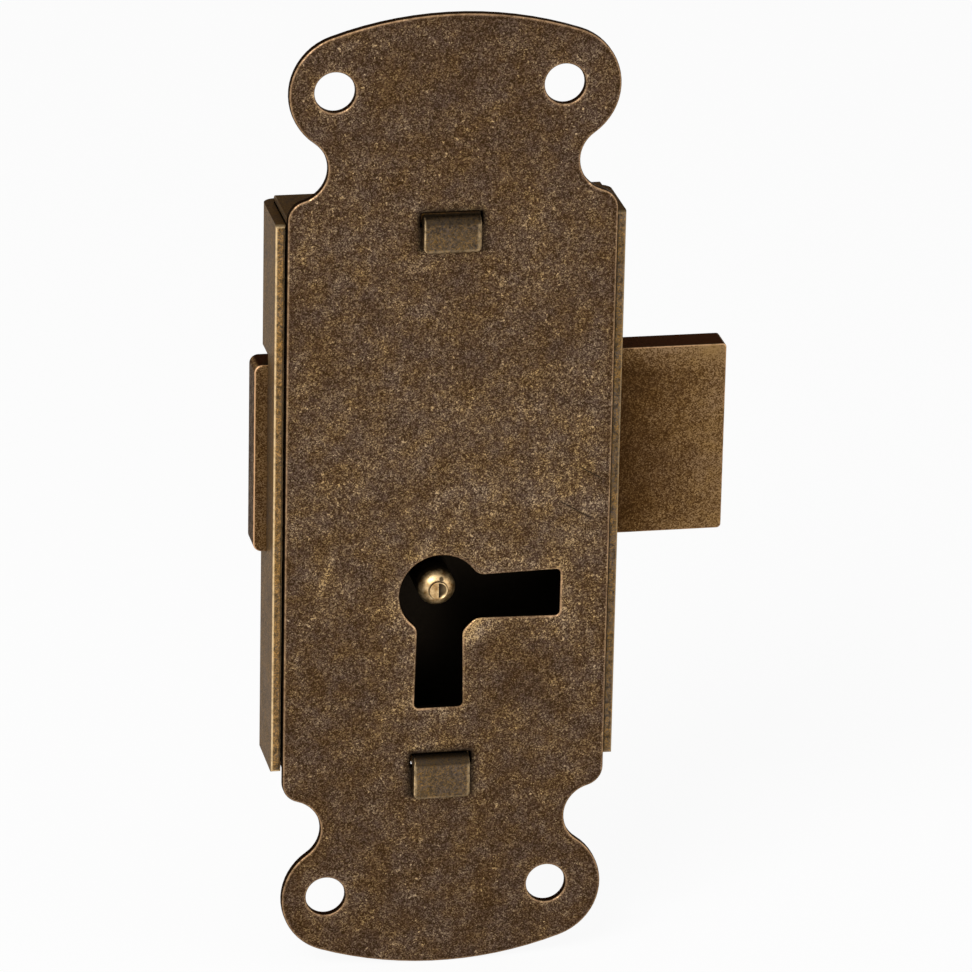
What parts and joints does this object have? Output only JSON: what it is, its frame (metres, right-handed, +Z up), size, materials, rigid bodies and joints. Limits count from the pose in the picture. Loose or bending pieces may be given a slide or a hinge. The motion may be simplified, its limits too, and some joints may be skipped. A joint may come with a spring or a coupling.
{
  "type": "cabinet lock",
  "caption": "Surface-mounted cabinet lock: shaped cover plate with an L-shaped keyhole over a folded sheet case, with a sliding through bolt, key pin and sprung levers",
  "frame": {"origin": "middle of the four screw holes, on the rear face of the cover plate, where the case walls stand", "axes": "+X along the bolt, the way it is thrown; +Y from the keyhole side into the case; +Z up the plate, with the lower leg of the keyhole pointing to -Z"},
  "size_m": [0.0438, 0.0098, 0.092],
  "materials": {
    "patinated_plate": "steel sheet, brass plated and darkened to an antique brown, edges rubbed back to brass",
    "patinated_case": "steel sheet, brass plated and darkened, smoother and greyer on the folded walls",
    "patinated_bolt": "blanked steel, brass plated and lightly darkened, golden brown",
    "turned_brass": "turned brass, bright",
    "bare_steel": "pressed or turned steel, oiled",
    "spring_steel": "blued spring strip"
  },
  "bodies": {
    "case": {"lock_case": "patinated_case", "cover_plate": "patinated_plate", "key_pin": "turned_brass", "guide_stud": "bare_steel", "lever_pivot": "bare_steel", "pivot_washer": "turned_brass"},
    "bolt": {"bolt": "patinated_bolt", "bolt_stump": "bare_steel"},
    "front_lever": {"lever_front": "bare_steel", "lever_spring_front": "spring_steel"},
    "rear_lever": {"lever_rear": "bare_steel", "lever_spring_rear": "spring_steel"}
  },
  "joints": [
    {"name": "bolt_slide", "type": "slide", "parent": "case", "child": "bolt", "axis": [1, 0, 0], "range_m": [-0.0094, 0]},
    {"name": "front_lever_lift", "type": "hinge", "parent": "case", "child": "front_lever", "pos_m": [-0.0102, 0, 0.01495], "axis": [0, -1, 0], "range_deg": [0, 10], "deforming": ["lever_spring_front"]},
    {"name": "rear_lever_lift", "type": "hinge", "parent": "case", "child": "rear_lever", "pos_m": [-0.0102, 0, 0.01495], "axis": [0, -1, 0], "range_deg": [0, 10], "deforming": ["lever_spring_rear"]}
  ],
  "couplings": [
    {"joint": "front_lever_lift", "follows": "bolt_slide", "rad_per_m": -17.6},
    {"joint": "rear_lever_lift", "follows": "bolt_slide", "rad_per_m": -17.6}
  ]
}
